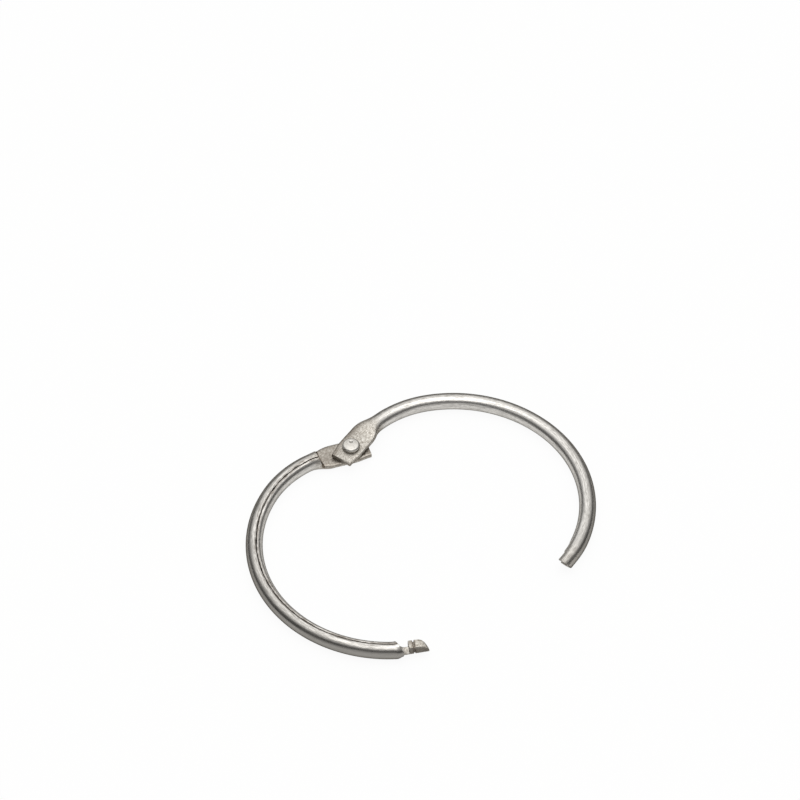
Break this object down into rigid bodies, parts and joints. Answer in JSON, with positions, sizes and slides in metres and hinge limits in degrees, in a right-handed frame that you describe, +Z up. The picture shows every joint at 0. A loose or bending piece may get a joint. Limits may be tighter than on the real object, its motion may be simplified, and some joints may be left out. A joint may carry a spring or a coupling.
{
  "type": "binder ring",
  "caption": "Hinged binder ring of rolled nickel-plated steel tube: half rings swing on riveted lugs and close with a barbed hook in a slotted socket to hold punched sheets.",
  "frame": {"origin": "centre of the hook half's bend, on the surface that the ring lies on", "axes": "+Z up, along the rivet; the hinge is towards -X, the hook towards +X, and the hook half on the -Y side"},
  "size_m": [0.0618, 0.0725, 0.0039],
  "materials": {
    "nickel_tube": "satin nickel plate over rolled steel strip, with faint drawing lines along the tube",
    "nickel_rivet": "tumbled nickel plate, lighter than the tube"
  },
  "bodies": {
    "hook_side": {"hook_half": "nickel_tube", "hinge_rivet": "nickel_rivet"},
    "socket_side": {"socket_half": "nickel_tube"}
  },
  "joints": [
    {"name": "ring_hinge", "type": "hinge", "parent": "hook_side", "child": "socket_side", "pos_m": [-0.0249, 0, 0.0017], "axis": [0, 0, 1], "range_deg": [-43, 88]}
  ]
}
